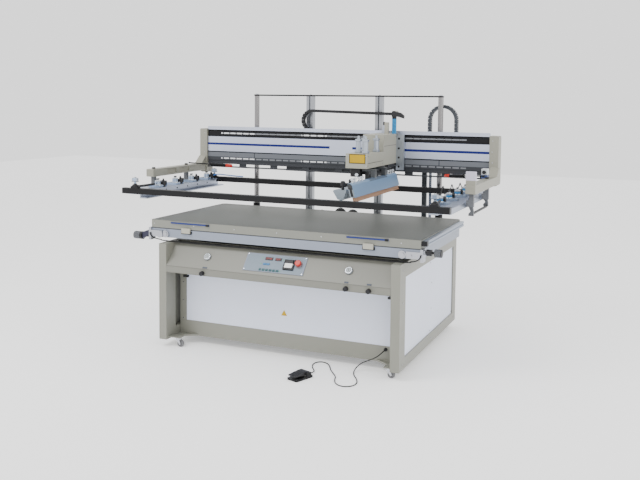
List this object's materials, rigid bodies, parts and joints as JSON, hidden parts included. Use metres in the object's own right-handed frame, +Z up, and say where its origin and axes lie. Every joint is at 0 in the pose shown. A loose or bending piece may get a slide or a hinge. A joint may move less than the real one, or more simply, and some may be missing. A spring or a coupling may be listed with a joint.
{
  "type": "flatbed screen printing machine",
  "caption": "Large flatbed screen printing machine: enamelled cabinet on castors, flat table, lifting screen head on columns, squeegee carriage and foot pedal",
  "frame": {"origin": "On the floor under the middle of the machine's footprint, the loose foot pedal left out", "axes": "+X along the machine to the operator's right, +Y away from the operator, +Z up"},
  "size_m": [2.488, 1.6522, 1.769],
  "materials": {
    "grey_enamel": "semi-gloss",
    "white_panel": "semi-gloss",
    "table_enamel": "satin",
    "aluminium": "satin",
    "ground_steel": "ground",
    "chromed": "polished",
    "black_enamel": "satin",
    "black_plastic": "moulded",
    "tan_rubber": "smooth",
    "grey_rubber": "moulded",
    "blue_lacquer": "gloss",
    "control_face": "satin",
    "red_plastic": "gloss",
    "white_plastic": "gloss",
    "cord_rubber": "smooth"
  },
  "bodies": {
    "cabinet": {"end_frame_left": "grey_enamel", "end_frame_right": "grey_enamel", "side_panels": "white_panel", "front_fascia": "grey_enamel", "front_surround": "grey_enamel", "front_panel": "white_panel", "foot_gussets": "grey_enamel", "back_panel": "white_panel", "top_deck": "grey_enamel", "control_panel": "control_face", "pressure_gauges": "chromed", "table_subframe": "grey_enamel", "register_brackets": "aluminium", "outer_columns": "ground_steel", "inner_columns": "aluminium", "tie_bars": "ground_steel", "lift_chain": "black_plastic", "pedal_base": "black_enamel", "pedal_cord": "cord_rubber", "cord_gland": "black_plastic", "table_hoses": "cord_rubber"},
    "head": {"main_beam": "aluminium", "beam_rail": "black_enamel", "lift_bearings": "grey_enamel", "end_bracket_left": "grey_enamel", "end_bracket_right": "grey_enamel", "clamp_channel_left": "aluminium", "clamp_channel_right": "aluminium", "screen_clamps_left": "aluminium", "screen_clamps_right": "aluminium", "screen_beam_front": "black_enamel", "screen_beam_back": "black_enamel", "beam_chain": "black_plastic"},
    "carriage": {"carriage_housing": "grey_enamel", "carriage_plate": "aluminium", "stroke_cylinders": "aluminium", "hose_mast": "grey_enamel"},
    "squeegee": {"squeegee_holder": "aluminium", "squeegee_blade": "tan_rubber"},
    "flood": {"flood_bar": "aluminium"},
    "table": {"table_top": "table_enamel", "table_edges": "aluminium", "register_strips": "blue_lacquer"},
    "knob_left": {"register_knob_left": "black_plastic"},
    "knob_right": {"register_knob_right": "black_plastic"},
    "rocker": {"rocker_switch": "white_plastic"},
    "stop_button": {"emergency_stop": "red_plastic"},
    "treadle": {"pedal_treadle": "black_plastic"},
    "regulator_left": {"regulator_knob_left": "black_plastic"},
    "regulator_middle": {"regulator_knob_middle": "black_plastic"},
    "regulator_right": {"regulator_knob_right": "black_plastic"},
    "fork_front_left": {"castor_fork_front_left": "ground_steel"},
    "wheel_front_left": {"castor_wheel_front_left": "grey_rubber"},
    "fork_front_right": {"castor_fork_front_right": "ground_steel"},
    "wheel_front_right": {"castor_wheel_front_right": "grey_rubber"},
    "fork_back_left": {"castor_fork_back_left": "ground_steel"},
    "wheel_back_left": {"castor_wheel_back_left": "grey_rubber"},
    "fork_back_right": {"castor_fork_back_right": "ground_steel"},
    "wheel_back_right": {"castor_wheel_back_right": "grey_rubber"}
  },
  "joints": [
    {"name": "head_lift", "type": "slide", "parent": "cabinet", "child": "head", "axis": [0, 0, 1], "range_m": [-0.14, 0]},
    {"name": "print_stroke", "type": "slide", "parent": "head", "child": "carriage", "axis": [1, 0, 0], "range_m": [-1.2, 0.42]},
    {"name": "squeegee_lift", "type": "slide", "parent": "carriage", "child": "squeegee", "axis": [0, 0, 1], "range_m": [-0.04, 0]},
    {"name": "flood_lift", "type": "slide", "parent": "carriage", "child": "flood", "axis": [0, 0, 1], "range_m": [-0.04, 0]},
    {"name": "table_adjust", "type": "slide", "parent": "cabinet", "child": "table", "axis": [1, 0, 0], "range_m": [-0.006, 0.006]},
    {"name": "register_screw_left", "type": "hinge", "parent": "cabinet", "child": "knob_left", "pos_m": [-1.04, -0.58785, 0.756], "axis": [-1, 0, 0], "range_deg": [-1080, 1080]},
    {"name": "register_screw_right", "type": "hinge", "parent": "cabinet", "child": "knob_right", "pos_m": [1.04, -0.58785, 0.804], "axis": [1, 0, 0], "range_deg": [-1080, 1080]},
    {"name": "regulator_turn_left", "type": "hinge", "parent": "cabinet", "child": "regulator_left", "pos_m": [-0.525, -0.67785, 0.549], "axis": [0, -1, 0], "range_deg": [-540, 540]},
    {"name": "regulator_turn_middle", "type": "hinge", "parent": "cabinet", "child": "regulator_middle", "pos_m": [0.524, -0.67785, 0.549], "axis": [0, -1, 0], "range_deg": [-540, 540]},
    {"name": "regulator_turn_right", "type": "hinge", "parent": "cabinet", "child": "regulator_right", "pos_m": [0.677, -0.67785, 0.549], "axis": [0, -1, 0], "range_deg": [-540, 540]},
    {"name": "treadle_press", "type": "hinge", "parent": "cabinet", "child": "treadle", "pos_m": [0.30863, -0.8339, 0.03], "axis": [0.9397, -0.342, 0], "range_deg": [0, 5], "stiffness_Nm_per_rad": 6, "springref_deg": -6.88},
    {"name": "rocker_tilt", "type": "hinge", "parent": "cabinet", "child": "rocker", "pos_m": [0.1, -0.62567, 0.65534], "axis": [1, 0, 0], "range_deg": [-4, 4]},
    {"name": "stop_press", "type": "slide", "parent": "cabinet", "child": "stop_button", "axis": [0, -0.7646, 0.6445], "range_m": [-0.003, 0]},
    {"name": "swivel_front_left", "type": "hinge", "parent": "cabinet", "child": "fork_front_left", "pos_m": [-0.755, -0.62585, 0.06], "axis": [0, 0, 1], "continuous": true},
    {"name": "roll_front_left", "type": "hinge", "parent": "fork_front_left", "child": "wheel_front_left", "pos_m": [-0.735, -0.62585, 0.024], "axis": [0, 1, 0], "continuous": true},
    {"name": "swivel_front_right", "type": "hinge", "parent": "cabinet", "child": "fork_front_right", "pos_m": [0.795, -0.62585, 0.06], "axis": [0, 0, 1], "continuous": true},
    {"name": "roll_front_right", "type": "hinge", "parent": "fork_front_right", "child": "wheel_front_right", "pos_m": [0.815, -0.62585, 0.024], "axis": [0, 1, 0], "continuous": true},
    {"name": "swivel_back_left", "type": "hinge", "parent": "cabinet", "child": "fork_back_left", "pos_m": [-0.755, 0.57415, 0.06], "axis": [0, 0, 1], "continuous": true},
    {"name": "roll_back_left", "type": "hinge", "parent": "fork_back_left", "child": "wheel_back_left", "pos_m": [-0.735, 0.57415, 0.024], "axis": [0, 1, 0], "continuous": true},
    {"name": "swivel_back_right", "type": "hinge", "parent": "cabinet", "child": "fork_back_right", "pos_m": [0.795, 0.57415, 0.06], "axis": [0, 0, 1], "continuous": true},
    {"name": "roll_back_right", "type": "hinge", "parent": "fork_back_right", "child": "wheel_back_right", "pos_m": [0.815, 0.57415, 0.024], "axis": [0, 1, 0], "continuous": true}
  ]
}
